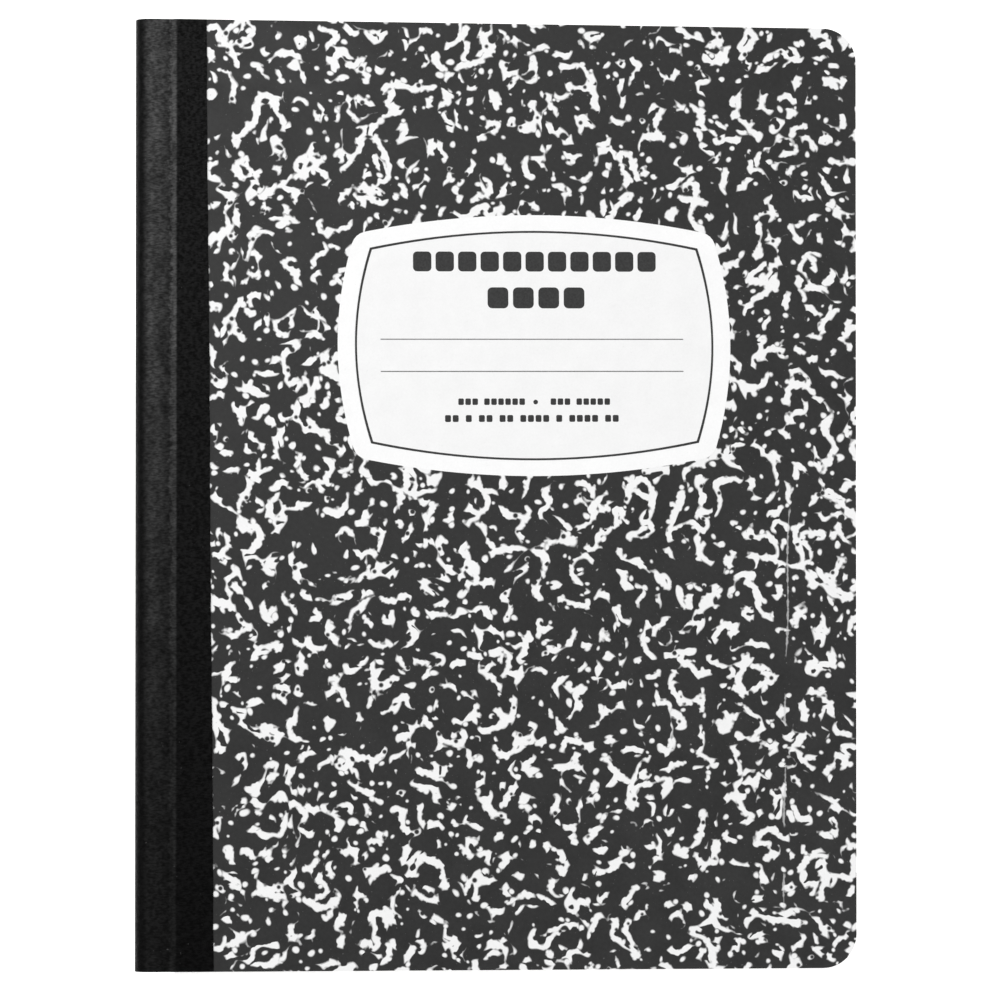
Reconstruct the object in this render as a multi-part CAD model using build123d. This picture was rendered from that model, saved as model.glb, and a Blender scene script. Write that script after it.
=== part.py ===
from build123d import *
import math
import os

# A sewn composition notebook lying on its back cover: sheets folded once and lockstitched through
# the fold, a lining sheet sewn round them and pasted to both boards, two stiff boards trimmed flush
# with the leaves, and one strip of cloth tape over the spine, which is the hinge of both covers.
#
# Millimetres. +Z goes up through the front cover, +Y to the head, and the spine is at -X.
# The origin is the middle of the underside. Sections are drawn from the middle of the tape's
# outer face: x runs to the fore edge, and z up from between the two middle leaves.

# Trimmed size of the whole book
book_height = 247.65
book_width = 190.5
corner_radius = 9.0

# What the thickness is made of
leaf_count = 100
leaf_thickness = 0.085
lining_thickness = 0.15
board_thickness = 0.9
tape_thickness = 0.25

# The fold: the flat strip down the spine, and how far each side swells next to it
spine_flat = 2.1
fold_swell = 0.4

# The joint of a cover: where its board starts, and the groove that the tape is pressed into
board_inset = 10.0
groove_flat = 0.9
ramp_angle = 50.0

# How far the tape reaches from the spine; on the front it was laid slightly askew
front_flap_at_head = 17.8
front_flap_at_tail = 19.9
back_flap = 19.0

# The lockstitch
thread_diameter = 0.45
thread_clearance = 0.02
stitch_pitch = 9.5
stitch_margin = 5.0

# Levels above the middle leaves
half_block = leaf_count * leaf_thickness / 2
half_lined = half_block + lining_thickness
half_boards = half_lined + board_thickness
half_total = half_boards + tape_thickness

# The fold's rounding and the two arcs that bring each side down from its swell
fold_x = tape_thickness + lining_thickness
fold_radius = half_block + fold_swell - spine_flat / 2
swell_x = fold_x + fold_radius
ramp_radius = board_thickness / (2 * (1 - math.cos(math.radians(ramp_angle))))
groove_x = board_inset - 2 * ramp_radius * math.sin(math.radians(ramp_angle))
fall_x = groove_x - groove_flat
fall_radius = ((fall_x - swell_x) ** 2 + fold_swell**2) / (4 * fold_swell)
fall_angle = math.degrees(math.asin((fall_x - swell_x) / (2 * fall_radius)))

# The threads: one run under the tape, one in the middle fold, locked halfway through the leaves
thread_radius = thread_diameter / 2
channel_radius = thread_radius + thread_clearance
outer_run_x = tape_thickness + channel_radius
inner_run_x = fold_x + half_block + channel_radius
lock_x = (outer_run_x + inner_run_x) / 2
stitch_count = int((book_height - 2 * stitch_margin) / stitch_pitch) + 1


def line(x0, z0, x1, z1):
    return Line((x0, z0), (x1, z1))


def arc(x, z, radius, start, end):
    """An arc about (x, z), from one angle to another in degrees."""
    points = []
    for angle in (start, (start + end) / 2, end):
        turn = math.radians(angle)
        points.append((x + radius * math.cos(turn), z + radius * math.sin(turn)))
    return ThreePointArc(*points)


def fold(out):
    """The front half of the fold, `out` outside the leaves, from the groove to the middle of the spine."""
    steep = 90 - fall_angle
    return [
        arc(fall_x, half_block + fall_radius, fall_radius - out, 270, 270 - fall_angle),
        arc(swell_x, half_block + fold_swell - fall_radius, fall_radius + out, steep, 90),
        arc(swell_x, spine_flat / 2, fold_radius + out, 90, 180),
        line(fold_x - out, spine_flat / 2, fold_x - out, 0),
    ]


def tape_path(out, reach):
    """The front half of the tape, `out` above its pasted face, from the flap to the middle of the spine."""
    level = half_lined + out
    return [
        line(reach, half_boards + out, board_inset, half_boards + out),
        arc(board_inset, half_boards - ramp_radius, ramp_radius + out, 90, 90 + ramp_angle),
        arc(groove_x, half_lined + ramp_radius, ramp_radius - out, 270 + ramp_angle, 270),
        line(groove_x, level, fall_x, level),
        *fold(lining_thickness + out),
    ]


def to_back(edges):
    """The same edges on the back half."""
    return [edge.mirror(Plane.XZ) for edge in edges]


def along_spine(edges):
    """The closed section that these edges bound, run the whole height of the book."""
    return extrude(Plane.XZ * Face(Wire(edges)), amount=book_height / 2, both=True)


def wrapped(out):
    """All that lies inside the surface `out` outside the leaves, fold and fore edge included."""
    level = half_block + out
    front = [line(book_width, 0, book_width, level), line(book_width, level, fall_x, level), *fold(out)]
    return along_spine(front + to_back(front))


def trimmed(solid):
    """The solid cut to the book's outline, round at the two corners of the fore edge."""
    outline = Pos(book_width / 2, 0) * Rectangle(book_width, book_height)
    outline = fillet(outline.vertices().group_by(Axis.X)[-1], corner_radius)
    return solid & extrude(outline, amount=half_total, both=True)


def run(x, radius):
    """A round run down the whole fold."""
    return extrude(Plane.XZ * Pos(x, 0) * Circle(radius), amount=book_height / 2, both=True)


def trough(radius):
    """The outer thread's channel, open towards the tape."""
    section = Pos(outer_run_x - radius, 0) * SlotCenterToCenter(2 * radius, 2 * radius)
    return extrude(Plane.XZ * section, amount=book_height / 2, both=True)


def stitches(start_x, end_x, radius):
    """A short round post through the fold at each stitch."""
    post = extrude(Plane.YZ.offset(start_x) * Circle(radius), amount=end_x - start_x)
    return [pos * post for pos in GridLocations(0, stitch_pitch, 1, stitch_count)]


def page_block():
    """The folded sheets, dented by the outer thread and pierced at each stitch."""
    dent = trough(channel_radius + lining_thickness)
    crease = run(inner_run_x, channel_radius)
    return trimmed(wrapped(0)) - dent - crease - stitches(outer_run_x, inner_run_x, channel_radius)


def cover_lining():
    """The outermost sheet, pressed in under the outer thread."""
    sheet = trimmed(wrapped(lining_thickness))
    dip = sheet & trough(channel_radius + lining_thickness)
    sheet = (sheet - wrapped(0)) + dip
    return sheet - trough(channel_radius) - stitches(outer_run_x, lock_x, channel_radius)


def thread(run_x, end_x):
    """One thread: its long run, and a post at each stitch to where it meets the other thread."""
    return run(run_x, thread_radius) + stitches(run_x, end_x, thread_radius)


def board(low, high):
    """A board between two levels, from its joint to the fore edge."""
    length = book_width - board_inset
    blank = Pos((board_inset + book_width) / 2, 0, (low + high) / 2) * Box(length, book_height, high - low)
    return trimmed(blank)


def spine_tape():
    """One strip from board to board: down into both grooves, round the fold, its front flap cut askew."""
    front_reach = max(front_flap_at_head, front_flap_at_tail)
    front_end = line(front_reach, half_total, front_reach, half_boards)
    back_end = line(back_flap, half_total, back_flap, half_boards)
    front = [*tape_path(0, front_reach), *tape_path(tape_thickness, front_reach), front_end]
    back = [*tape_path(0, back_flap), *tape_path(tape_thickness, back_flap), back_end]
    strip = along_spine(front + to_back(back))
    head, tail = book_height / 2, -book_height / 2
    askew = [(front_flap_at_tail, tail), (book_width, tail), (book_width, head), (front_flap_at_head, head)]
    return strip - extrude(make_face(Polyline(*askew, close=True)), amount=half_total)


nodes = {
    "page_block": page_block(),
    "cover_lining": cover_lining(),
    "needle_thread": thread(outer_run_x, lock_x - thread_clearance / 2),
    "bobbin_thread": thread(inner_run_x, lock_x + thread_clearance / 2),
    "front_board": board(half_lined, half_boards),
    "back_board": board(-half_boards, -half_lined),
    "spine_tape": spine_tape(),
}

os.makedirs("parts", exist_ok=True)
for name, shape in nodes.items():
    export_step(Pos(-book_width / 2, 0, half_total) * shape, f"parts/{name}.step")
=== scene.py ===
import math
import random

import bpy
from mathutils import Matrix, Vector


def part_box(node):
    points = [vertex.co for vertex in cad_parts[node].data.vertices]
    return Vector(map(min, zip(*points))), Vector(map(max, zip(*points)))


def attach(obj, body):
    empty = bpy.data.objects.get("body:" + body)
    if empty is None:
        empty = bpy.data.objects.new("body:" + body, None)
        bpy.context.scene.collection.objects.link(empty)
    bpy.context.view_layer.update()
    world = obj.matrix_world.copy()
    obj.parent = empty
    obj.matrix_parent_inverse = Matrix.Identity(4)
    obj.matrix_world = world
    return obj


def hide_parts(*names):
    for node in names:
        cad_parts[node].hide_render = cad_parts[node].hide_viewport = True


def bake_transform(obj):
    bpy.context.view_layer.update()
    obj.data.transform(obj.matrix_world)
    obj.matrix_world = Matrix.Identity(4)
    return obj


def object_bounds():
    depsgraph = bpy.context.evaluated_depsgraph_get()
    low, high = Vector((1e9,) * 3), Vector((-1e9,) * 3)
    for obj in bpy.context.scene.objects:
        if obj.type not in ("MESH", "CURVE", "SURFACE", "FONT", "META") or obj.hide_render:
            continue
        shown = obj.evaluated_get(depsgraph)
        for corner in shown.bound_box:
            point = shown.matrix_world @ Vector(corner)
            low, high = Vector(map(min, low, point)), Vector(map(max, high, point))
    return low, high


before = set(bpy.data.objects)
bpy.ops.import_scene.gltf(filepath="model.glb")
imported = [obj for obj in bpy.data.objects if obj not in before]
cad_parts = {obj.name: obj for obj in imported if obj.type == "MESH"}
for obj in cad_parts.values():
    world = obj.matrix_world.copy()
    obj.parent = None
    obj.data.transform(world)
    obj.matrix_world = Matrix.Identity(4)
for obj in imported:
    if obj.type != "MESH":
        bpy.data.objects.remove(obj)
cad_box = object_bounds()

MM = 0.001
random.seed(7)

# The closed book's levels and edges, from its CAD pieces
tape_low, tape_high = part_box("spine_tape")
lining_low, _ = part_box("cover_lining")
block_low, block_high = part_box("page_block")
board_low, board_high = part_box("front_board")
back_low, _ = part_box("back_board")
spine = tape_low.x
fore = board_high.x
head = board_high.y
mid = (tape_low.z + tape_high.z) / 2
tape_thick = lining_low.x - tape_low.x
lining_thick = block_low.x - lining_low.x
half_boards = board_high.z - mid
half_lined = board_low.z - mid
half_block = half_lined - lining_thick
board_thick = half_boards - half_lined
swell = block_high.z - mid - half_block
board_inset = board_low.x - spine

# What the boxes don't give: the fold, the groove, the corners and the tape's cut
SPINE_FLAT = 2.1 * MM
GROOVE_FLAT = 0.9 * MM
RAMP_ANGLE = 50.0
CORNER = 9.0 * MM
FLAP_AT_HEAD = 17.8 * MM
FLAP_AT_TAIL = tape_high.x - spine
BACK_FLAP = 19.0 * MM
THREAD_DENT = 0.49 * MM
LEAF_COUNT = 100

leaf_thick = 2 * half_block / LEAF_COUNT
ramp_radius = board_thick / (2 * (1 - math.cos(math.radians(RAMP_ANGLE))))
groove_x = board_inset - 2 * ramp_radius * math.sin(math.radians(RAMP_ANGLE))
fall_x = groove_x - GROOVE_FLAT
fold_x = tape_thick + lining_thick
fold_radius = half_block + swell - SPINE_FLAT / 2
swell_x = fold_x + fold_radius
fall_radius = ((fall_x - swell_x) ** 2 + swell**2) / (4 * swell)
fall_angle = math.degrees(math.asin((fall_x - swell_x) / (2 * fall_radius)))

# How far each printed layer stands above the one below, and how far the print runs under the tape
PRINT_LIFT = 0.05 * MM
FIELD_LIFT = 0.04 * MM
INK_LIFT = 0.03 * MM
UNDER_FLAP = 1.5 * MM


# ---------------------------------------------------------------- shader nodes


class Shader:
    """A material's node tree, with a short call for each kind of node."""

    def __init__(self, name):
        self.material = bpy.data.materials.new(name)
        self.material.use_nodes = True
        self.nodes = self.material.node_tree.nodes
        self.links = self.material.node_tree.links
        self.surface = self.nodes["Principled BSDF"]
        place = self.node("ShaderNodeTexCoord").outputs["Object"]
        self.place = self.vector("SCALE", place, scale=1 / MM)

    def node(self, kind, **settings):
        """A new node of that kind, with these settings."""
        made = self.nodes.new(kind)
        for key, value in settings.items():
            setattr(made, key, value)
        return made

    def feed(self, socket, value):
        """Links the socket if the value comes from a node, and sets it if not."""
        if isinstance(value, bpy.types.NodeSocket):
            self.links.new(value, socket)
        else:
            socket.default_value = value

    def math(self, operation, *values):
        """One step of arithmetic on numbers or sockets."""
        made = self.node("ShaderNodeMath", operation=operation)
        for socket, value in zip(made.inputs, values):
            self.feed(socket, value)
        return made.outputs[0]

    def vector(self, operation, a, b=None, scale=None):
        """The same on places or colours."""
        made = self.node("ShaderNodeVectorMath", operation=operation)
        self.feed(made.inputs[0], a)
        if b is not None:
            self.feed(made.inputs[1], b)
        if scale is not None:
            self.feed(made.inputs["Scale"], scale)
        return made.outputs[0]

    def turned(self, place, angle, shift):
        """The place turned about Z, then shifted, so that no two textures share a grid."""
        made = self.node("ShaderNodeVectorRotate", rotation_type="Z_AXIS")
        self.feed(made.inputs["Vector"], place)
        made.inputs["Angle"].default_value = angle
        return self.vector("ADD", made.outputs[0], (shift, 1.7 * shift, 0.3 * shift))

    def noise(self, place, size, shift=0.0, detail=0.0, colour=False):
        """Soft noise whose features are about size across."""
        made = self.node("ShaderNodeTexNoise")
        self.feed(made.inputs["Vector"], self.turned(place, 0.6 + shift, shift))
        made.inputs["Scale"].default_value = 1 / size
        made.inputs["Detail"].default_value = detail
        return made.outputs["Color" if colour else "Fac"]

    def cells(self, place, size, shift):
        """Distance to the nearest of randomly placed points, and a random number for that point."""
        made = self.node("ShaderNodeTexVoronoi", voronoi_dimensions="2D", feature="F1")
        self.feed(made.inputs["Vector"], self.turned(place, shift, shift))
        made.inputs["Scale"].default_value = 1 / size
        split = self.node("ShaderNodeSeparateColor")
        self.links.new(made.outputs["Color"], split.inputs[0])
        return self.math("MULTIPLY", made.outputs["Distance"], size), split.outputs[0]

    def between(self, value, low, high, start=0.0, end=1.0, kind="SMOOTHSTEP"):
        """From start where the value is low to end where it is high."""
        made = self.node("ShaderNodeMapRange", interpolation_type=kind)
        for socket, given in zip(made.inputs, (value, low, high, start, end)):
            self.feed(socket, given)
        return made.outputs[0]

    def mix(self, share, a, b):
        """Colour a at share 0, colour b at share 1."""
        made = self.node("ShaderNodeMix", data_type="RGBA")
        self.feed(made.inputs["Factor"], share)
        for socket, colour in zip((made.inputs["A"], made.inputs["B"]), (a, b)):
            if isinstance(colour, bpy.types.NodeSocket):
                self.links.new(colour, socket)
            else:
                socket.default_value = (*colour, 1)
        return made.outputs["Result"]

    def axes(self, place):
        """The place's X, Y and Z."""
        made = self.node("ShaderNodeSeparateXYZ")
        self.feed(made.inputs[0], place)
        return made.outputs

    def bump(self, height, depth):
        """A relief of that height field, depth metres deep at 1."""
        made = self.node("ShaderNodeBump")
        self.feed(made.inputs["Height"], height)
        made.inputs["Distance"].default_value = depth
        self.links.new(made.outputs[0], self.surface.inputs["Normal"])

    def around(self, value, spread, kind="SMOOTHSTEP"):
        """From -spread to spread as a noise goes from its usual lowest to its usual highest."""
        return self.between(value, 0.2, 0.8, -spread, spread, kind)

    def finish(self, colour, roughness, specular):
        """The material, with its surface set."""
        self.feed(self.surface.inputs["Base Color"], colour)
        self.feed(self.surface.inputs["Roughness"], roughness)
        self.surface.inputs["Specular IOR Level"].default_value = specular
        return self.material


# ------------------------------------------------------------------- materials
# Inside a material every length is in millimetres, and the marbling's are in grains.

PAPER_WHITE = (0.87, 0.87, 0.87)
PRINT_BLACK = (0.018, 0.018, 0.018)
SMUDGE_GREY = (0.16, 0.16, 0.16)
CREASE_GREY = (0.6, 0.6, 0.6)
LABEL_FLECK = (0.55, 0.55, 0.54)

GRAIN = 1.45
STEP = 0.35
NARROWEST, WIDEST = 0.28, 1.3

CREASE_X = 77.35
CREASE_SLANT = 0.018

RULE_PITCH = 7.1
RULE_WIDTH = 0.3
RULE_SOFT = 0.06
FIRST_RULE = 25.0
MARGIN = 32.0
WRITING_PAPER = (0.81, 0.81, 0.795)
RULE_BLUE = (0.30, 0.45, 0.68)
MARGIN_RED = (0.75, 0.25, 0.30)

WEAVE_PITCH = 0.42
# The grey of the painted highlight on the tape's hump and joint edge
HIGHLIGHT_GREY = (0.03, 0.03, 0.03)
LINT = (0.09, 0.09, 0.09)


def marble_spots(s, place, shift):
    """The place, swayed, and the same a short step away along X and along Y."""
    spots = []
    for step in ((0, 0, 0), (STEP, 0, 0), (0, STEP, 0)):
        spot = s.vector("ADD", place, step)
        for size, sway, turn in ((12.0, 3.2, 3), (2.2, 0.8, 13)):
            drift = s.noise(s.vector("ADD", place, step), size, shift + turn, colour=True)
            drift = s.vector("SUBTRACT", drift, (0.5, 0.5, 0.5))
            spot = s.vector("ADD", spot, s.vector("SCALE", drift, scale=sway))
        spots.append(spot)
    return spots


def marble_field(s, spots, size, shift, level, detail=0.0):
    """Soft noise about a level at each spot, and how steeply it changes there."""
    values = [s.math("SUBTRACT", s.noise(spot, size, shift, detail), 0.5 + level) for spot in spots]
    gentlest = 0.105 * STEP / size
    slope = s.node("ShaderNodeCombineXYZ")
    s.feed(slope.inputs[0], s.math("SUBTRACT", values[1], values[0]))
    s.feed(slope.inputs[1], s.math("SUBTRACT", values[2], values[0]))
    s.feed(slope.inputs[2], gentlest)
    length = s.node("ShaderNodeVectorMath", operation="LENGTH")
    s.links.new(slope.outputs[0], length.inputs[0])
    return values, s.math("DIVIDE", length.outputs["Value"], STEP)


def marble_white(s, shift):
    """1 on the white veins of agate marbling, 0 on its black: winding strokes cut into lengths, and dots."""
    place = s.vector("SCALE", s.place, scale=1 / GRAIN)
    spots = marble_spots(s, place, shift)

    # How wide the strokes are from the middle out: uneven along each one, and from place to place
    width = s.math("MULTIPLY_ADD", s.noise(place, 2.4, shift + 71), 1.25, -0.135)
    width = s.math("ADD", width, s.around(s.noise(place, 0.75, shift + 171), 0.3, "LINEAR"))
    width = s.math("ADD", width, s.around(s.noise(place, 14, shift + 75), 0.08, "LINEAR"))
    width = s.math("MINIMUM", s.math("MAXIMUM", width, NARROWEST), WIDEST)

    # Two layers of strokes: each follows the line where a noise is level, and a second noise cuts it
    white = None
    for size, cut, turn, detail in ((6.5, 3.2, 21, 0.0), (5.0, 2.8, 131, 1.0)):
        values, slope = marble_field(s, spots, size, shift + turn, 0.0, detail)
        near = s.math("ADD", s.math("ABSOLUTE", values[0]), s.math("ABSOLUTE", values[1]))
        near = s.math("ADD", near, s.math("ABSOLUTE", values[2]))
        away = s.math("SUBTRACT", s.math("DIVIDE", s.math("DIVIDE", near, 3), slope), 0.12)
        ends, steep = marble_field(s, spots, cut, shift + turn + 11, 0.04)
        stroke = s.math("SMOOTH_MIN", s.math("SUBTRACT", width, away), s.math("DIVIDE", ends[0], steep), 0.5)
        white = stroke if white is None else s.math("SMOOTH_MAX", white, stroke, 0.6)

    # White dots between the strokes, and black pinholes in them
    distance, chance = s.cells(spots[0], 3.0, shift + 5)
    radius = s.math("MULTIPLY_ADD", chance, -0.75, 0.62)
    radius = s.math("SUBTRACT", radius, s.math("GREATER_THAN", chance, 0.5))
    white = s.math("SMOOTH_MAX", white, s.math("SUBTRACT", radius, distance), 0.3)
    distance, chance = s.cells(place, 2.6, shift + 45)
    radius = s.math("MULTIPLY_ADD", chance, -0.6, 0.42)
    radius = s.math("SUBTRACT", radius, s.math("GREATER_THAN", chance, 0.3))
    white = s.math("MINIMUM", white, s.math("SUBTRACT", distance, radius))
    return s.between(white, -0.14, 0.22)


def fibre_tone(s, strength):
    """A faint mottling of paper, about 1."""
    fine = s.noise(s.place, 0.5, 11, 2.0)
    cloud = s.noise(s.place, 6.0, 23, 2.0)
    both = s.math("MULTIPLY_ADD", fine, 0.5, s.math("MULTIPLY", cloud, 0.5))
    return s.between(both, 0.3, 0.7, 1 - strength, 1 + strength, "LINEAR")


def toned(s, colour, tone):
    """The colour, lighter or darker by that factor."""
    return s.vector("SCALE", colour, scale=tone)


def crease(s):
    """The whitened, broken crease beside the fore edge of the front cover."""
    x, y, _ = s.axes(s.place)
    line = s.math("MULTIPLY_ADD", y, CREASE_SLANT, CREASE_X)
    line = s.math("ADD", line, s.between(s.noise(s.place, 20, 31), 0.3, 0.7, -0.35, 0.35))
    away = s.math("ABSOLUTE", s.math("SUBTRACT", x, line))
    width = s.between(s.noise(s.place, 1.5, 41, 1.0), 0.3, 0.7, 0.06, 0.36)
    line = s.between(s.math("SUBTRACT", width, away), -0.16, 0.16)
    broken = s.between(s.noise(s.place, 13, 57), 0.4, 0.46)
    reach = s.math("MULTIPLY", s.between(y, 3.5, 1.0), s.between(y, -112.0, -104.0))
    return s.math("MULTIPLY", s.math("MULTIPLY", line, broken), reach)


def marbled_paper(name, shift, creased):
    """Cover paper printed with marbling; shift moves the pattern, so that no two covers are alike."""
    s = Shader(name)
    white = marble_white(s, shift)
    ink = toned(s, PRINT_BLACK, s.between(s.noise(s.place, 1.1, 19, 3.0), 0.25, 0.75, 0.82, 1.2, "LINEAR"))
    specks = s.between(s.noise(s.place, 0.55, 83, 1.0), 0.72, 0.8, 0.0, 0.5)
    ink = s.mix(specks, ink, SMUDGE_GREY)
    colour = s.mix(white, ink, toned(s, PAPER_WHITE, fibre_tone(s, 0.03)))
    if creased:
        colour = s.mix(s.math("MULTIPLY", crease(s), 0.62), colour, CREASE_GREY)
    relief = s.math("MULTIPLY_ADD", s.noise(s.place, 0.35, 5, 2.0), 0.6, s.noise(s.place, 3.0, 9))
    s.bump(relief, 0.02 * MM)
    return s.finish(colour, s.between(s.noise(s.place, 9.0, 3, 2.0), 0.3, 0.7, 0.33, 0.45, "LINEAR"), 0.4)


def label_paper(name, white):
    """The cover paper's white where the marbling leaves it bare, with a few faint specks."""
    s = Shader(name)
    specks = s.between(s.noise(s.place, 0.8, 61, 2.0), 0.68, 0.78, 0.0, 0.12)
    colour = s.mix(specks, toned(s, (white, white, white), fibre_tone(s, 0.03)), LABEL_FLECK)
    s.bump(s.noise(s.place, 0.35, 5, 2.0), 0.015 * MM)
    return s.finish(colour, s.between(s.noise(s.place, 9.0, 3), 0.3, 0.7, 0.42, 0.54, "LINEAR"), 0.4)


def ink(name, tone):
    """Printing ink of that grey, laid a little unevenly."""
    s = Shader(name)
    worn = s.between(s.noise(s.place, 0.5, 71, 1.0), 0.25, 0.75, 0.7, 1.5, "LINEAR")
    s.bump(s.noise(s.place, 0.35, 5, 2.0), 0.015 * MM)
    roughness = s.between(s.noise(s.place, 2.0, 3), 0.3, 0.7, 0.4, 0.55, "LINEAR")
    return s.finish(toned(s, (tone, tone, tone), worn), roughness, 0.4)


def pressboard():
    """The boards' cut edges: grey-brown, flecked and in layers."""
    s = Shader("pressboard")
    place = s.vector("MULTIPLY", s.place, (1, 1, 5))
    layers = s.noise(place, 0.9, 15, 3.0)
    flecks = s.between(s.noise(place, 0.5, 25, 2.0), 0.62, 0.74, 0.0, 0.5)
    colour = s.mix(layers, (0.42, 0.40, 0.36), (0.62, 0.60, 0.55))
    colour = s.mix(flecks, colour, (0.25, 0.23, 0.2))
    s.bump(layers, 0.06 * MM)
    return s.finish(colour, s.between(layers, 0.3, 0.7, 0.8, 0.95), 0.2)


def plain_paper(name, colour):
    """Uncoated paper."""
    s = Shader(name)
    s.bump(s.noise(s.place, 0.3, 8, 3.0), 0.02 * MM)
    roughness = s.between(s.noise(s.place, 4.0, 2), 0.3, 0.7, 0.7, 0.82)
    return s.finish(toned(s, colour, fibre_tone(s, 0.03)), roughness, 0.3)


def page_edges():
    """The trimmed edges of the leaves, with lines of painted shade between them, as where leaves lie a little
    apart.
    """
    s = Shader("page_edges")
    x, y, z = s.axes(s.place)
    leaf = s.node("ShaderNodeCombineXYZ")
    s.feed(leaf.inputs[0], s.math("MULTIPLY", x, 0.02))
    s.feed(leaf.inputs[1], s.math("MULTIPLY", y, 0.02))
    s.feed(leaf.inputs[2], z)
    shaded_leaf_lines = s.noise(leaf.outputs[0], 0.16, 4, 2.0)
    soil = s.noise(s.place, 14, 14, 3.0)
    # The darker grey is painted shade between the leaves
    colour = s.mix(s.between(shaded_leaf_lines, 0.3, 0.7), (0.66, 0.65, 0.61), (0.85, 0.845, 0.82))
    colour = s.mix(s.between(soil, 0.55, 0.8, 0.0, 0.25), colour, (0.6, 0.58, 0.53))
    s.bump(shaded_leaf_lines, 0.03 * MM)
    return s.finish(colour, s.between(shaded_leaf_lines, 0.3, 0.7, 0.75, 0.9), 0.25)


def ruled_paper(name, margin_x):
    """Writing paper with blue rules across and a red margin rule at margin_x metres."""
    s = Shader(name)
    x, y, _ = s.axes(s.place)
    down = s.math("SUBTRACT", (head / MM) - FIRST_RULE, y)
    phase = s.math("PINGPONG", down, RULE_PITCH / 2)
    wobble = s.between(s.noise(s.place, 0.8, 6), 0.3, 0.7, 0.85, 1.1)
    outside, inside = RULE_WIDTH / 2 + RULE_SOFT, RULE_WIDTH / 2 - RULE_SOFT
    rule = s.between(s.math("MULTIPLY", phase, wobble), outside, inside)
    rule = s.math("MULTIPLY", rule, s.math("GREATER_THAN", down, -RULE_WIDTH))
    beside = s.math("ABSOLUTE", s.math("SUBTRACT", x, margin_x / MM))
    margin = s.between(beside, outside, inside)
    paper = toned(s, WRITING_PAPER, fibre_tone(s, 0.03))
    colour = s.mix(s.math("MULTIPLY", rule, 0.8), paper, RULE_BLUE)
    colour = s.mix(s.math("MULTIPLY", margin, 0.75), colour, MARGIN_RED)
    s.bump(s.noise(s.place, 0.3, 8, 3.0), 0.02 * MM)
    return s.finish(colour, s.between(s.noise(s.place, 4.0, 2), 0.3, 0.7, 0.72, 0.84), 0.3)


def tape_cloth(crest, ridge):
    """Black coated book cloth, with a painted highlight in grey along the hump and along the joint's raised
    edge.

    crest and ridge are how far those two lie from the middle of the spine, in metres along the tape.
    """
    crest, ridge = crest / MM, ridge / MM
    s = Shader("tape_cloth")
    cloth = s.node("ShaderNodeUVMap", uv_map="cloth").outputs[0]
    cloth = s.vector("SCALE", cloth, scale=1 / MM)
    across, along, _ = s.axes(cloth)

    warp = s.math("SINE", s.math("MULTIPLY", across, 2 * math.pi / WEAVE_PITCH))
    weft = s.math("SINE", s.math("MULTIPLY", along, 2 * math.pi / WEAVE_PITCH))
    weave = s.math("MULTIPLY", warp, weft)
    mottle = s.noise(cloth, 1.3, 12, 2.0)
    fine = s.noise(cloth, 0.45, 22, 2.0)
    streaks = s.noise(s.vector("MULTIPLY", cloth, (1, 0.06, 1)), 0.9, 32, 2.0)
    relief = s.math("MULTIPLY_ADD", weave, 0.12, s.math("MULTIPLY", fine, 0.8))
    relief = s.math("ADD", relief, s.math("MULTIPLY_ADD", mottle, 1.3, s.math("MULTIPLY", streaks, 0.4)))
    s.bump(relief, 0.11 * MM)

    # Painted highlight, in grey: on the hump and on the ragged line of the joint's edge, strongest near the
    # head
    hump_highlight = s.between(across, crest - 3.8, crest - 0.6)
    hump_highlight = s.math("MULTIPLY", hump_highlight, s.between(across, crest + 4.4, crest + 0.2, 0.42))
    hump_highlight = s.math("MULTIPLY", hump_highlight, s.between(across, ridge + 0.8, ridge))
    # The ragged painted highlight along the joint's raised edge
    ragged = s.math("ADD", across, s.around(s.noise(cloth, 1.1, 42, 1.0), 1.0, "LINEAR"))
    edge = s.between(ragged, ridge - 1.5, ridge + 0.1, 0, 1.4)
    edge = s.math("MULTIPLY", edge, s.between(across, ridge + 1.5, ridge + 0.8))
    painted_highlight = s.math("MAXIMUM", hump_highlight, edge)
    painted_highlight = s.math("MULTIPLY", painted_highlight, s.between(along, -110, 125, 0.15, 1.25))
    threads = s.noise(s.vector("MULTIPLY", cloth, (0.35, 1, 1)), 0.42, 52, 1.0)
    patches = s.noise(s.vector("MULTIPLY", cloth, (0.7, 0.3, 1)), 2.6, 62, 1.0)
    for noise, spread in ((threads, 0.4), (patches, 0.4), (mottle, 0.3)):
        uneven = s.between(noise, 0.3, 0.7, 1 - spread, 1 + spread, "LINEAR")
        painted_highlight = s.math("MULTIPLY", painted_highlight, uneven)

    # The dye, with painted shade darker towards the tail and on the spine's flat, and a little lint on it
    grain = s.math("MULTIPLY_ADD", mottle, 0.5, s.math("MULTIPLY", threads, 0.5))
    colour = s.mix(s.between(grain, 0.36, 0.64), (0.0028, 0.0028, 0.0028), (0.0125, 0.0125, 0.0127))
    # Painted shade: the cloth darker towards the tail
    colour = toned(s, colour, s.between(along, -125, 125, 0.3, 1.15, "LINEAR"))
    # The painted highlight is added to the dye here
    colour = s.vector("ADD", colour, toned(s, HIGHLIGHT_GREY, painted_highlight))
    lint = s.between(s.noise(cloth, 0.9, 92, 1.0), 0.76, 0.84, 0.0, 0.5)
    colour = s.mix(lint, colour, LINT)
    # Painted shade on the spine's rounded side and on its flat
    colour = toned(s, colour, s.between(across, crest - 4.2, crest - 1.6, 0.3, 1.0))
    both = s.math("MULTIPLY_ADD", fine, 0.5, s.math("MULTIPLY", mottle, 0.5))
    return s.finish(colour, s.between(both, 0.35, 0.65, 0.7, 0.5), 0.04)


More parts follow.
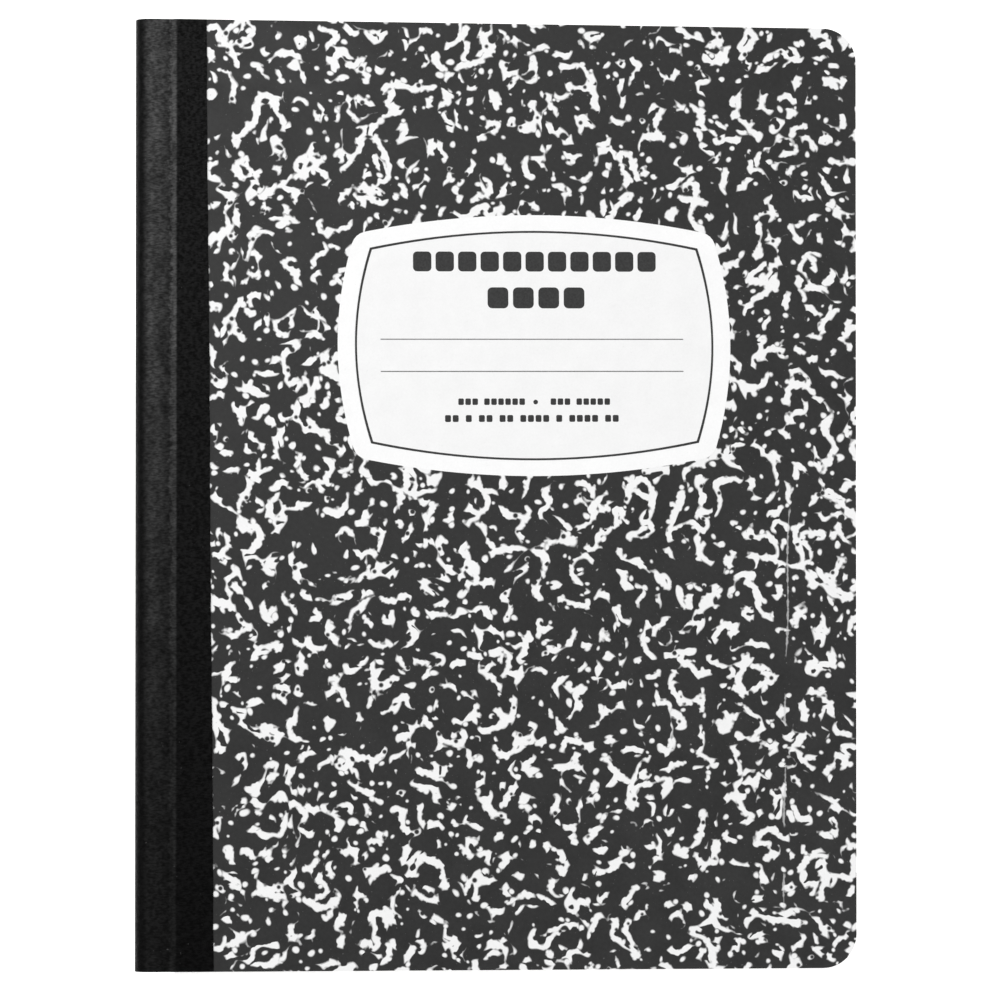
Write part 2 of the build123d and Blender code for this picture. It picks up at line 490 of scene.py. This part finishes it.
def cotton_thread():
    """Undyed twisted cotton, with painted shade in the grooves of its twist."""
    s = Shader("cotton_thread")
    _, y, z = s.axes(s.place)
    twist = s.math("SINE", s.math("MULTIPLY_ADD", y, 2 * math.pi / 0.8, s.math("MULTIPLY", z, 9.0)))
    # Darker where the twist's relief is low: painted shade in its grooves
    colour = s.mix(s.between(twist, -1, 1), (0.62, 0.61, 0.57), (0.86, 0.85, 0.81))
    s.bump(twist, 0.05 * MM)
    return s.finish(colour, s.between(s.noise(s.place, 0.3, 2), 0.3, 0.7, 0.7, 0.9), 0.2)


# -------------------------------------------------------------------- sections
# Sections are lists of (x, z): x from the tape's outer face at the spine, z up from the middle leaf.


def arc(x, z, radius, start, end, steps):
    """Points on an arc about (x, z), from one angle to another in degrees."""
    angles = [math.radians(start + (end - start) * n / steps) for n in range(steps + 1)]
    return [(x + radius * math.cos(a), z + radius * math.sin(a)) for a in angles]


def dented(x, z, out):
    """The outer thread presses the fold in at its middle, less and less towards the inner sheets."""
    depth = THREAD_DENT * math.exp(out / (1.2 * MM)) if out < lining_thick else THREAD_DENT
    return x + depth * math.exp(-((z / (0.42 * MM)) ** 2)), z


def spine_strip(out, dent):
    """From the edge of the spine's flat to its middle."""
    x = fold_x - out
    steps = 9
    points = [(x, SPINE_FLAT / 2 * (1 - n / steps)) for n in range(1, steps + 1)]
    return [dented(*p, out) for p in points] if dent else points


def fold(out, dent=True):
    """The front half of the fold, out outside the leaves, from the groove to the middle of the spine."""
    steep = 90 - fall_angle
    centre = half_block + swell - fall_radius
    lowered = arc(fall_x, half_block + fall_radius, fall_radius - out, 270, 270 - fall_angle, 4)
    raised = arc(swell_x, centre, fall_radius + out, steep, 90, 4)
    rounded = arc(swell_x, SPINE_FLAT / 2, fold_radius + out, 90, 180, 14)
    return lowered + raised[1:] + rounded[1:] + spine_strip(out, dent)


def inner_fold(out):
    """The same for a sheet inside the block, whose fold is tighter and swells less."""
    depth = -out
    share = 1 - depth / half_block
    level = half_block + out
    lift = swell * share
    radius = max(0.04 * MM, (level + lift) - SPINE_FLAT / 2 * share)
    top = radius + SPINE_FLAT / 2 * share
    left = fold_x + depth
    steps = 8
    points = []
    for n in range(steps + 1):
        turn = n / steps
        x = fall_x + (left + radius - fall_x) * turn
        points.append((x, level + (top - level) * (0.5 - 0.5 * math.cos(math.pi * turn))))
    points += arc(left + radius, SPINE_FLAT / 2 * share, radius, 90, 180, 9)[1:]
    points += [(left, SPINE_FLAT / 2 * share * (1 - n / 4)) for n in range(1, 5)]
    return [dented(x, z, out) for x, z in points]


def tape_path(out, reach):
    """The front half of the tape, out above its pasted face, from the flap to the middle of the spine."""
    level = half_lined + out
    steps = 12
    flap = [(reach + (board_inset - reach) * n / steps, half_boards + out) for n in range(steps + 1)]
    edge = arc(board_inset, half_boards - ramp_radius, ramp_radius + out, 90, 90 + RAMP_ANGLE, 8)
    ramp = arc(groove_x, half_lined + ramp_radius, ramp_radius - out, 270 + RAMP_ANGLE, 270, 8)
    groove = [(groove_x + (fall_x - groove_x) * n / 4, level) for n in range(1, 4)]
    return flap + edge[1:] + ramp[1:] + groove + fold(lining_thick + out, dent=False)


def flat_path(z, start):
    """A level stretch, with a point wherever the corner's round needs one, finer near the joint."""
    turn = [fore - spine - CORNER * (1 - math.sin(math.radians(6 * n))) for n in range(15, -1, -1)]
    near = [board_inset + step * 1.2 * MM for step in (0.0, 1.0, 2.5, 4.5)]
    return [(x, z) for x in turn + near[::-1] if x <= start]


def reach_at(x):
    """Half the book's length at x from the spine: less where the fore-edge corners are round."""
    into = x - (fore - spine - CORNER)
    if into <= 0:
        return head
    return head - CORNER + math.sqrt(max(0.0, CORNER**2 - into**2))


# ---------------------------------------------------------------------- meshes


def add_piece(name, vertices, faces, materials, smooth):
    """A mesh object of these vertices and faces; smooth shading still breaks at its sharp edges."""
    mesh = bpy.data.meshes.new(name)
    mesh.from_pydata(vertices, [], faces)
    piece = bpy.data.objects.new(name, mesh)
    bpy.context.scene.collection.objects.link(piece)
    for material in materials:
        mesh.materials.append(material)
    mesh.polygons.foreach_set("use_smooth", [smooth] * len(faces))
    mesh.update()
    if smooth:
        mesh.set_sharp_from_angle(angle=math.radians(40))
    return piece


def strip(outer, inner, side, rows, shape=None):
    """Vertices and faces of a closed strip between two paths, run along Y in that many rows.

    side -1 mirrors it to the back, and shape, if given, moves each point of the section by its y.
    """
    vertices, faces = [], []
    for path in (outer, inner):
        for x, z in path:
            half = reach_at(x)
            for row in range(rows + 1):
                y = half * (2 * row / rows - 1)
                px, pz = (x, z) if shape is None else shape(x, y, z)
                vertices.append((spine + px, y, mid + side * pz))
    count, wide = len(outer), rows + 1
    below = count * wide

    def quad(a, b, c, d):
        """A face that looks outwards on either side of the book."""
        faces.append((a, b, c, d) if side > 0 else (d, c, b, a))

    for n in range(count - 1):
        for row in range(rows):
            a, b = n * wide + row, (n + 1) * wide + row
            quad(a, a + 1, b + 1, b)
    for n in range(count - 1):
        for row in range(rows):
            a, b = below + n * wide + row, below + (n + 1) * wide + row
            quad(a, b, b + 1, a + 1)
    for n in range(count - 1):
        a, b = n * wide, (n + 1) * wide
        quad(a, b, below + b, below + a)
        quad(b + rows, a + rows, below + a + rows, below + b + rows)
    for row in range(rows):
        last = (count - 1) * wide + row
        quad(row + 1, row, below + row, below + row + 1)
        quad(last, last + 1, below + last + 1, below + last)
    return vertices, faces


def path_length(path):
    """How long a list of points is when walked."""
    return sum(math.dist(a, b) for a, b in zip(path, path[1:]))


def add_cloth_map(piece, path, rows):
    """A UV map in metres out from the middle of the spine and along it, so the weave follows the bend."""
    run = [path_length(path)]
    for a, b in zip(path, path[1:]):
        run.append(run[-1] - math.dist(a, b))
    uv = piece.data.uv_layers.new(name="cloth")
    wide = rows + 1
    for loop in piece.data.loops:
        station = (loop.vertex_index // wide) % len(path)
        uv.data[loop.index].uv = (run[station], piece.data.vertices[loop.vertex_index].co.y)


def add_bake_map(piece, facing):
    """A UV map that gives the printed side of a flat sheet nearly all of the picture."""
    uv = piece.data.uv_layers.new(name="OFBake")
    points = [v.co for v in piece.data.vertices]
    low = Vector((min(p.x for p in points), min(p.y for p in points)))
    span = Vector((max(p.x for p in points) - low.x, max(p.y for p in points) - low.y))
    for face in piece.data.polygons:
        shown = face.normal.z * facing > 0.9
        for index in face.loop_indices:
            p = points[piece.data.loops[index].vertex_index]
            u, v = (p.x - low.x) / span.x, (p.y - low.y) / span.y
            u = 0.01 + 0.94 * u if shown else 0.97 + 0.02 * u
            uv.data[index].uv = (u, 0.01 + 0.98 * v)


def slab(name, outline, low, high, material):
    """A thin sheet of that outline, counterclockwise from above, between two heights."""
    count = len(outline)
    vertices = [(x, y, z) for z in (low, high) for x, y in outline]
    faces = [tuple(range(count - 1, -1, -1)), tuple(range(count, 2 * count))]
    faces += [(n, (n + 1) % count, count + (n + 1) % count, count + n) for n in range(count)]
    return add_piece(name, vertices, faces, [material], smooth=False)


# ------------------------------------------------------------------ the covers


def cover_outline(start):
    """The cover from start, metres from the spine, to the fore edge, round at its two corners."""
    tail_round = arc(fore - CORNER, -head + CORNER, CORNER, 270, 360, 16)
    head_round = arc(fore - CORNER, head - CORNER, CORNER, 0, 90, 16)
    return [(spine + start(-head), -head), *tail_round, *head_round, (spine + start(head), head)]


def front_flap(y):
    """How far the front flap reaches at y: its edge was cut slightly askew."""
    share = (y + head) / (2 * head)
    return FLAP_AT_TAIL + (FLAP_AT_HEAD - FLAP_AT_TAIL) * share


def back_flap(y):
    """The same on the back, where the edge is straight."""
    return BACK_FLAP


def make_prints(front_paper, back_paper):
    """The marbled paper of both covers; each runs a little way under the tape."""
    outline = cover_outline(lambda y: front_flap(y) - UNDER_FLAP)
    front = slab("front_print", outline, board_high.z, board_high.z + PRINT_LIFT, front_paper)
    add_bake_map(front, 1)
    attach(front, "front_cover")
    outline = cover_outline(lambda y: back_flap(y) - UNDER_FLAP)
    back = slab("back_print", outline, back_low.z - PRINT_LIFT, back_low.z, back_paper)
    add_bake_map(back, -1)
    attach(back, "back_cover")


def along_tape(x):
    """How far along the tape x from the spine is from the spine's middle."""
    return path_length([p for p in tape_path(tape_thick, FLAP_AT_TAIL) if p[0] <= x])


def make_tape():
    """The cloth tape in two halves that meet down the middle of the spine, one for each joint."""
    rows = 150
    cloth = tape_cloth(along_tape(swell_x), along_tape(board_inset - 1.1 * MM))
    front = ("front_tape", 1, "front_cover", front_flap)
    back = ("back_tape", -1, "back_cover", back_flap)
    for name, side, body, flap in (front, back):
        reach = max(flap(-head), flap(head))
        drift = random.uniform(0, 9)

        def shape(x, y, z):
            """The flap drawn in to its cut edge, which is a little frayed."""
            if x <= board_inset:
                return x, z
            share = (x - board_inset) / (reach - board_inset)
            frayed = 0.05 * math.sin(y / (3.1 * MM) + drift) + 0.07 * math.sin(y / (17 * MM) + 2 * drift)
            return x + (flap(y) - reach + (frayed - 0.12) * MM) * share, z

        outer = tape_path(tape_thick, reach)
        inner = tape_path(0, reach)
        piece = add_piece(name, *strip(outer, inner, side, rows, shape), [cloth], smooth=True)
        add_cloth_map(piece, outer, rows)
        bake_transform(piece)
        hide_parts("spine_tape")
        narrow = reach - min(flap(-head), flap(head))


def make_lining(paper):
    """The lining sheet in two halves, pasted to the boards."""
    for name, side, body in (("front_lining", 1, "front_cover"), ("back_lining", -1, "back_cover")):
        start = fore - spine
        joint = [(fall_x + (board_inset - fall_x) * n / 8, 0) for n in range(7, 0, -1)]
        outer = flat_path(half_lined, start) + [(x, half_lined) for x, _ in joint] + fold(lining_thick)
        inner = flat_path(half_block, start) + [(x, half_block) for x, _ in joint] + fold(0)
        piece = add_piece(name, *strip(outer, inner, side, 1), [paper], smooth=True)
        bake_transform(piece)
        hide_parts("cover_lining")


# ------------------------------------------------------------------- the pages

LEAF_GAP = 0.006 * MM
TRIM_SCATTER = 0.05 * MM


def leaf_paths(out, trim):
    """A leaf's two faces from the fore edge to the middle of the spine; out is its outer face's offset."""
    paths = []
    for face in (out, out - leaf_thick + 2 * LEAF_GAP):
        path = flat_path(half_block + face, fore - spine) + inner_fold(face)
        path[0] = (fore - spine - trim, path[0][1])
        paths.append(path)
    return paths


def make_pages(edges, recto, verso):
    """Fifty folded sheets: the outermost gives the first and the last leaf, the others the block between."""
    vertices, faces = [], []
    for sheet in range(LEAF_COUNT // 2):
        for side in (1, -1):
            outer, inner = leaf_paths(-sheet * leaf_thick - LEAF_GAP, random.uniform(0, TRIM_SCATTER))
            leaf_vertices, leaf_faces = strip(outer, inner, side, 1)
            if sheet == 0:
                name, paper = ("first_leaf", recto) if side > 0 else ("last_leaf", verso)
                add_outer_leaf(name, leaf_vertices, leaf_faces, side, [paper, edges])
                continue
            first = len(vertices)
            vertices += leaf_vertices
            faces += [tuple(first + v for v in face) for face in leaf_faces]
    block = add_piece("leaves", vertices, faces, [edges], smooth=False)
    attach(block, "pages")
    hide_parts("page_block")


def add_outer_leaf(name, vertices, faces, side, materials):
    """The first or the last leaf: ruled on the side that shows, plain elsewhere."""
    leaf = add_piece(name, vertices, faces, materials, smooth=False)
    for face in leaf.data.polygons:
        face.material_index = 0 if face.normal.z * side > 0.5 else 1
    add_bake_map(leaf, side)
    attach(leaf, "pages")


# ------------------------------------------------------------------- the label
# Printed on the front cover, a little askew. Its own drawing is in millimetres from its middle.

LABEL_AT = Vector((9.2 * MM, 39.5 * MM))
LABEL_TURN = math.radians(0.42)
FIELD_CORNER, FIELD_BULGE, FIELD_ROUND = (47.5, 29.2), (4.75, 5.0), 2.6
BORDER_CORNER, BORDER_BULGE, BORDER_WIDTH = (43.3, 25.3), (4.1, 4.5), 0.52
RULE_LEVELS, RULE_MIDDLE, RULE_SIZE = (1.65, -6.77), -0.65, (80.5, 0.26)
DOT_AT, DOT_RADIUS = (0.1, -14.8), 0.62

# Each run of blocks: middle x and y, how many blocks in each group, their width and height, the gap
HEADING = ((0.1, 22.0, (11,), 4.85, 5.2, 1.12), (0.4, 12.5, (4,), 5.5, 5.5, 1.25))
SMALL_RUNS = (
    (-11.6, -14.7, (3, 6), 1.45, 1.7, 0.42),
    (12.0, -14.7, (3, 5), 1.45, 1.7, 0.42),
    (-0.9, -19.1, (2, 1, 2, 2, 4, 1, 4, 2), 1.55, 1.8, 0.48),
)


def on_label(x, y):
    """A point of the label's drawing on the cover."""
    c, s = math.cos(LABEL_TURN), math.sin(LABEL_TURN)
    return LABEL_AT.x + (x * c - y * s) * MM, LABEL_AT.y + (x * s + y * c) * MM


def barrel(corner, bulge, grow=0.0):
    """A four-sided outline whose sides all bow outwards, counterclockwise from its lower right corner."""
    corner_x, corner_y = corner[0] + grow, corner[1] + grow
    side_bulge, top_bulge = bulge
    steps = 24
    corners = [(corner_x, -corner_y), (corner_x, corner_y), (-corner_x, corner_y), (-corner_x, -corner_y)]
    bulges = [(side_bulge, 0), (0, top_bulge), (-side_bulge, 0), (0, -top_bulge)]
    points = []
    for n in range(4):
        (ax, ay), (bx, by), (ox, oy) = corners[n], corners[(n + 1) % 4], bulges[n]
        for k in range(steps):
            t = k / steps
            bow = 4 * t * (1 - t)
            points.append((ax + (bx - ax) * t + ox * bow, ay + (by - ay) * t + oy * bow))
    return points


def rounded_corners(points, radius):
    """The outline with each sharp corner drawn in, by averaging every point over a run of that radius."""
    runs = [0.0]
    closed = points + points[:1]
    for a, b in zip(closed, closed[1:]):
        runs.append(runs[-1] + math.dist(a, b))
    total = runs[-1]

    def at(distance):
        """The point that far along the outline."""
        distance %= total
        for n in range(len(points)):
            if runs[n + 1] >= distance:
                t = (distance - runs[n]) / (runs[n + 1] - runs[n])
                return [closed[n][k] + (closed[n + 1][k] - closed[n][k]) * t for k in (0, 1)]

    count = 240
    smooth = []
    for n in range(count):
        samples = [at(total * n / count + radius * step / 4) for step in range(-4, 5)]
        smooth.append(tuple(sum(p[k] for p in samples) / len(samples) for k in (0, 1)))
    return smooth


def ring(name, outside, inside, low, high, material):
    """A flat band between two outlines of as many points."""
    count = len(outside)
    up = 2 * count
    vertices = [(*on_label(*p), z) for z in (low, high) for line in (outside, inside) for p in line]
    faces = []
    for n in range(count):
        m = (n + 1) % count
        o0, o1, i0, i1 = n, m, count + n, count + m
        faces += [(o0 + up, o1 + up, i1 + up, i0 + up), (o1, o0, i0, i1)]
        faces += [(o0, o1, o1 + up, o0 + up), (i1, i0, i0 + up, i1 + up)]
    return add_piece(name, vertices, faces, [material], smooth=False)


def block_outline(x, y, width, height, radius):
    """A rectangle about (x, y) with rounded corners."""
    points = []
    for quarter, (sx, sy) in enumerate(((1, -1), (1, 1), (-1, 1), (-1, -1))):
        cx, cy = x + sx * (width / 2 - radius), y + sy * (height / 2 - radius)
        for n in range(5):
            a = math.radians(270 + 90 * quarter + 90 * n / 4)
            points.append((cx + radius * math.cos(a), cy + radius * math.sin(a)))
    return points


def blocks(name, outlines, low, high, material):
    """Several flat printed shapes in one piece."""
    vertices, faces = [], []
    for outline in outlines:
        first, count = len(vertices), len(outline)
        vertices += [(*on_label(*p), z) for z in (low, high) for p in outline]
        faces.append(tuple(first + n for n in range(count - 1, -1, -1)))
        faces.append(tuple(first + count + n for n in range(count)))
        for n in range(count):
            m = (n + 1) % count
            faces.append((first + n, first + m, first + count + m, first + count + n))
    return add_piece(name, vertices, faces, [material], smooth=False)


def word(x, y, groups, width, height, gap):
    """A centred run of blocks that keeps a line of text's place, with a wider gap between groups."""
    count = sum(groups)
    total = count * width + (count - 1) * gap + (len(groups) - 1) * 3 * gap
    left = x - total / 2
    outlines = []
    for group in groups:
        for _ in range(group):
            outlines.append(block_outline(left + width / 2, y, width, height, min(width, height) * 0.22))
            left += width + gap
        left += 3 * gap
    return outlines


def make_label(rim, paper, dark, grey):
    """The white barrel-shaped label: its border, two writing rules, and plain blocks where text would be."""
    top = board_high.z + PRINT_LIFT
    field = rounded_corners(barrel(FIELD_CORNER, FIELD_BULGE), FIELD_ROUND)
    panel = barrel(BORDER_CORNER, BORDER_BULGE)
    pieces = []
    for name, outline, material in (("label_rim", field, rim), ("label_panel", panel, paper)):
        pieces.append(slab(name, [on_label(*p) for p in outline], top, top + FIELD_LIFT, material))
        add_bake_map(pieces[-1], 1)
        top += FIELD_LIFT

    outside, inside = (barrel(BORDER_CORNER, BORDER_BULGE, side * BORDER_WIDTH / 2) for side in (1, -1))
    pieces.append(ring("label_border", outside, inside, top, top + INK_LIFT, dark))
    rules = [block_outline(RULE_MIDDLE, y, *RULE_SIZE, 0.05) for y in RULE_LEVELS]
    pieces.append(blocks("label_rules", rules, top, top + INK_LIFT, grey))
    printed = [outline for run in HEADING + SMALL_RUNS for outline in word(*run)]
    printed.append(arc(*DOT_AT, DOT_RADIUS, 0, 340, 17))
    pieces.append(blocks("label_blocks", printed, top, top + INK_LIFT, dark))
    for piece in pieces:
        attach(piece, "front_cover")


# ------------------------------------------------------------ camera and light

CAMERA_AIM = Vector((0.97 * MM, -0.85 * MM, 5 * MM))
CAMERA_DISTANCE = 2.0405
CAMERA_LENS = 280.0
TILT_TO_SPINE = math.radians(9.86)
TILT_TO_TAIL = math.radians(1.42)

# Each light's name, place, aim, size and power
LIGHTS = (
    ("key_light", (-1.15, 0.5, 1.05), (0, 0, 0), (0.8, 1.0), 21),
    ("fill_light", (1.2, -0.4, 1.05), (0, 0, 0), (0.8, 1.0), 12.8),
    ("head_light", (-0.02, 0.25, 1.0), (-0.1, 0.1, 0), (0.25, 0.25), 0.9),
)

TABLE_HEIGHT = 250 * MM
TABLE_SIZE = 6.0
WHITE = (1, 1, 1, 1)


def make_camera():
    """A long lens above the front cover, looking down from a little to the spine's side and the tail's."""
    across, along = TILT_TO_SPINE, TILT_TO_TAIL
    look = Vector((math.sin(across), math.sin(along) * math.cos(across), -math.cos(across) * math.cos(along)))
    look.normalize()
    right = look.cross(Vector((0, 1, 0))).normalized()
    up = right.cross(look)
    camera = bpy.data.objects.new("camera", bpy.data.cameras.new("camera"))
    bpy.context.scene.collection.objects.link(camera)
    camera.matrix_world = Matrix((right, up, -look)).transposed().to_4x4()
    camera.location = CAMERA_AIM - look * CAMERA_DISTANCE
    camera.data.lens = CAMERA_LENS
    camera.data.sensor_width = 36
    camera.data.clip_start = 0.1
    camera.data.clip_end = 50
    bpy.context.scene.camera = camera


def add_light(name, place, aim, size, power):
    """A flat soft light."""
    light = bpy.data.lights.new(name, "AREA")
    light.shape = "RECTANGLE"
    light.size, light.size_y = size
    light.energy = power
    lamp = bpy.data.objects.new(name, light)
    bpy.context.scene.collection.objects.link(lamp)
    lamp.location = place
    lamp.rotation_euler = (Vector(aim) - Vector(place)).to_track_quat("-Z", "Y").to_euler()


def make_studio():
    """A pale table above a pale floor, and an even white surround.

    The table ends under the joint, so that the back cover can fold down and round past its edge.
    """
    top, edge = cad_box[0].z - 0.02 * MM, spine + board_inset + 1 * MM
    low = top - TABLE_HEIGHT
    profile = [(TABLE_SIZE, top), (edge, top), (edge, low), (-TABLE_SIZE, low)]
    points = [(x, y, z) for x, z in profile for y in (-TABLE_SIZE, TABLE_SIZE)]
    faces = [(2 * n, 2 * n + 1, 2 * n + 3, 2 * n + 2) for n in range(len(profile) - 1)]
    s = Shader("floor")
    s.surface.inputs["Emission Color"].default_value = WHITE
    s.surface.inputs["Emission Strength"].default_value = 0.5
    pale = s.finish(toned(s, (0.86, 0.86, 0.86), fibre_tone(s, 0.004)), 0.9, 0.1)
    floor = add_piece("floor", points, faces, [pale], smooth=False)
    for light in LIGHTS:
        add_light(*light)
    world = bpy.data.worlds.new("surround")
    world.use_nodes = True
    surround = world.node_tree.nodes["Background"]
    surround.inputs["Color"].default_value = WHITE
    surround.inputs["Strength"].default_value = 0.25
    bpy.context.scene.world = world
    bpy.context.scene.view_settings.view_transform = "Standard"


# ------------------------------------------------------------------ the object


def give(node, material):
    """A CAD node keeps its shape and takes a better material."""
    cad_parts[node].data.materials.clear()
    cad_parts[node].data.materials.append(material)


make_camera()
make_studio()
make_prints(marbled_paper("front_marble", 0.0, True), marbled_paper("back_marble", 200.0, False))
label_papers = label_paper("label_rim", 0.91), label_paper("label_panel", 0.865)
make_label(*label_papers, ink("label_ink", 0.022), ink("rule_ink", 0.12))
make_tape()
make_lining(plain_paper("lining_paper", (0.79, 0.79, 0.77)))
spine_margin = spine + MARGIN * MM
fore_margin = fore - MARGIN * MM
make_pages(page_edges(), ruled_paper("first_page", spine_margin), ruled_paper("last_page", fore_margin))
board = pressboard()
give("front_board", board)
give("back_board", board)
thread = cotton_thread()
give("needle_thread", thread)
give("bobbin_thread", thread)
